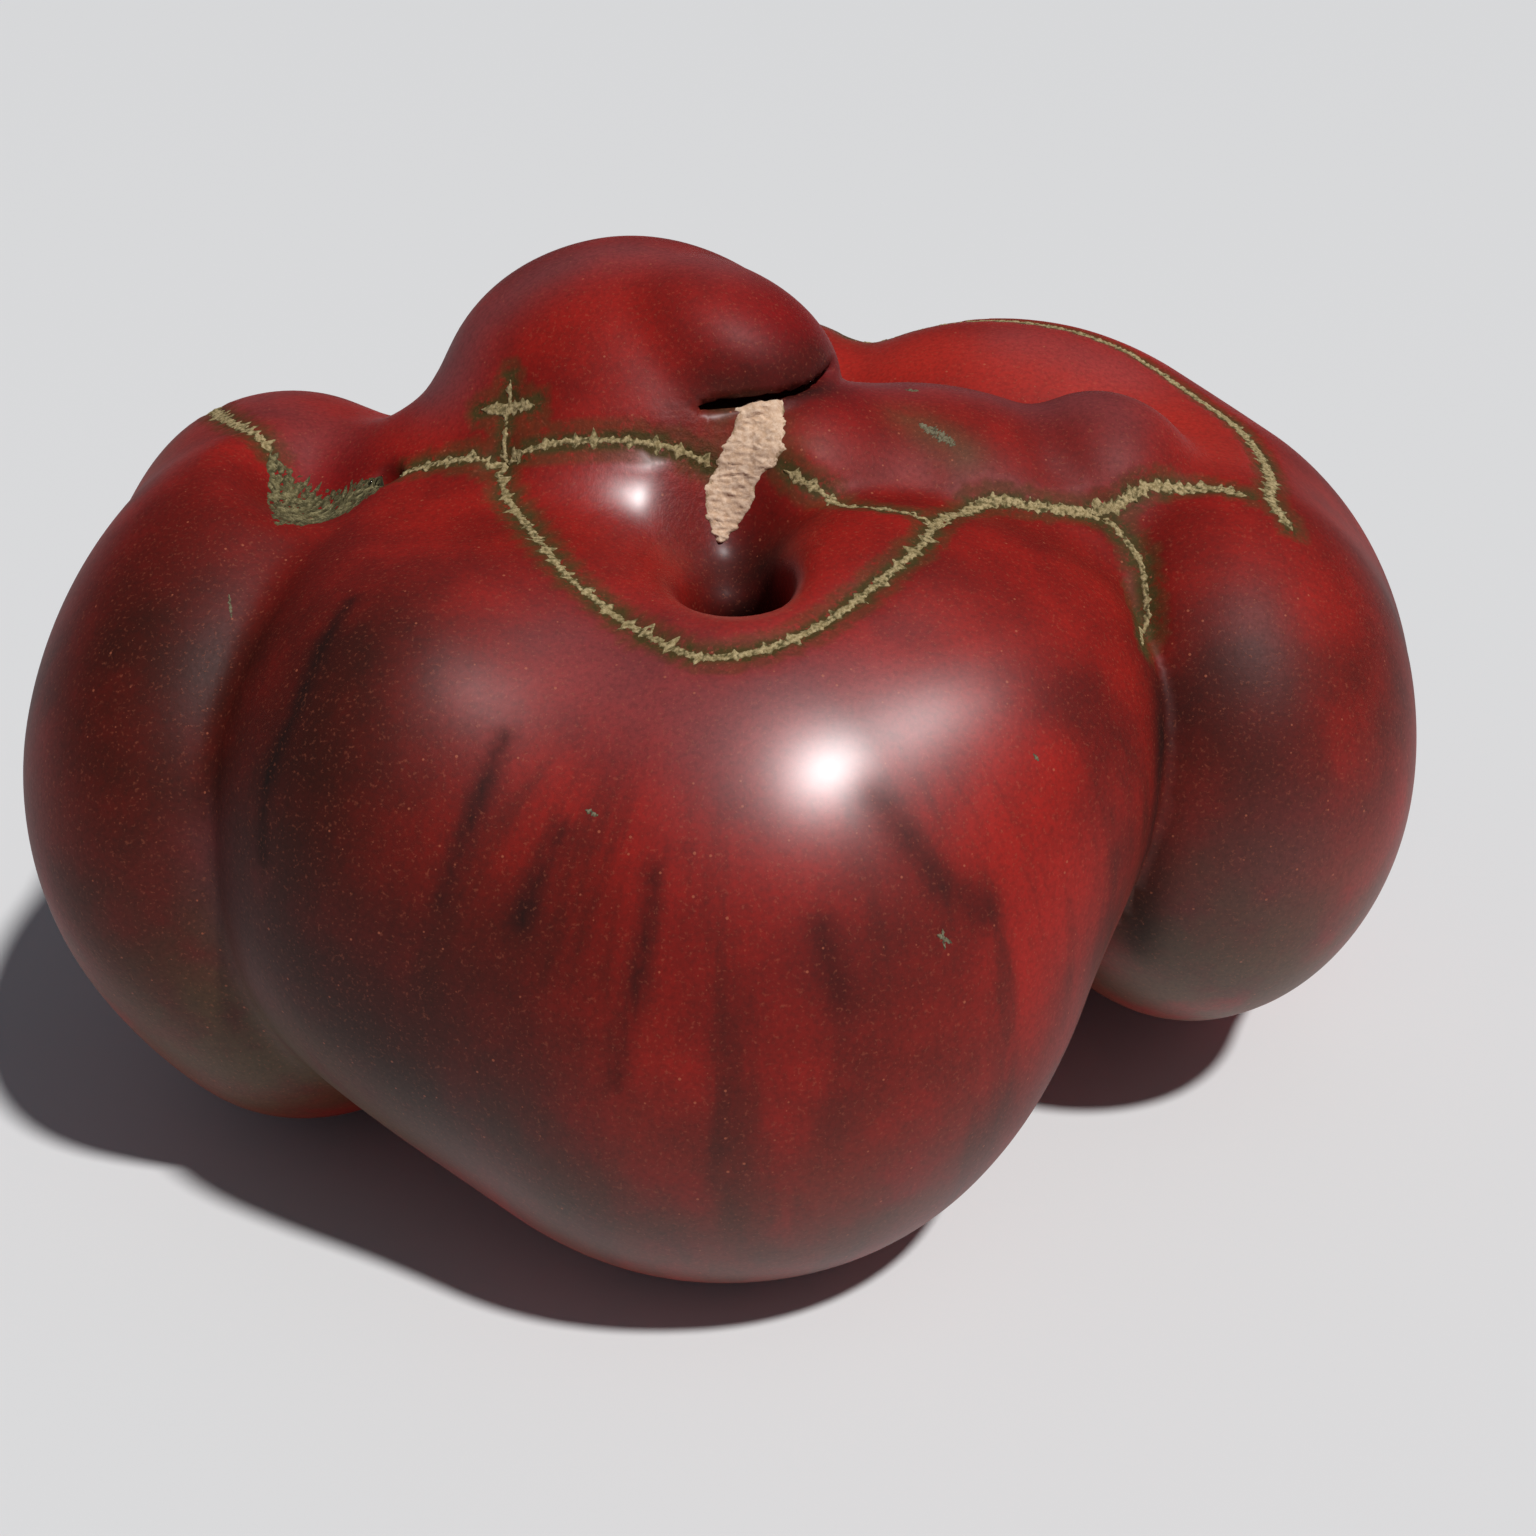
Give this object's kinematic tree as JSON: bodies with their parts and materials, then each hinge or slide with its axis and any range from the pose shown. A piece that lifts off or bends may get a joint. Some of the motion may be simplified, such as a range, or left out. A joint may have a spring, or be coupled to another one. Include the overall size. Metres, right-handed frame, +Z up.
{
  "type": "tomato",
  "caption": "Large ribbed heirloom tomato: swollen lobes fused into one fruit, with a knob-like crown, a deep pit and corky seam scars, resting on its small flat spot.",
  "frame": {"origin": "on the resting surface, in the plane of the flat spot, under the middle of the fruit's box", "axes": "+X to the fruit's right along its longest side, +Z up out of the flat spot, -Y is the front with the largest lobe"},
  "size_m": [0.142, 0.1126, 0.0829],
  "materials": {
    "skin": "smooth waxy tomato skin, deep red with dark olive-brown streaks and shoulders, semi-gloss",
    "cork": "dry pale tan scar cork, rough and matt, with an olive-green edge"
  },
  "bodies": {
    "root": {"fruit": "skin"}
  },
  "joints": []
}
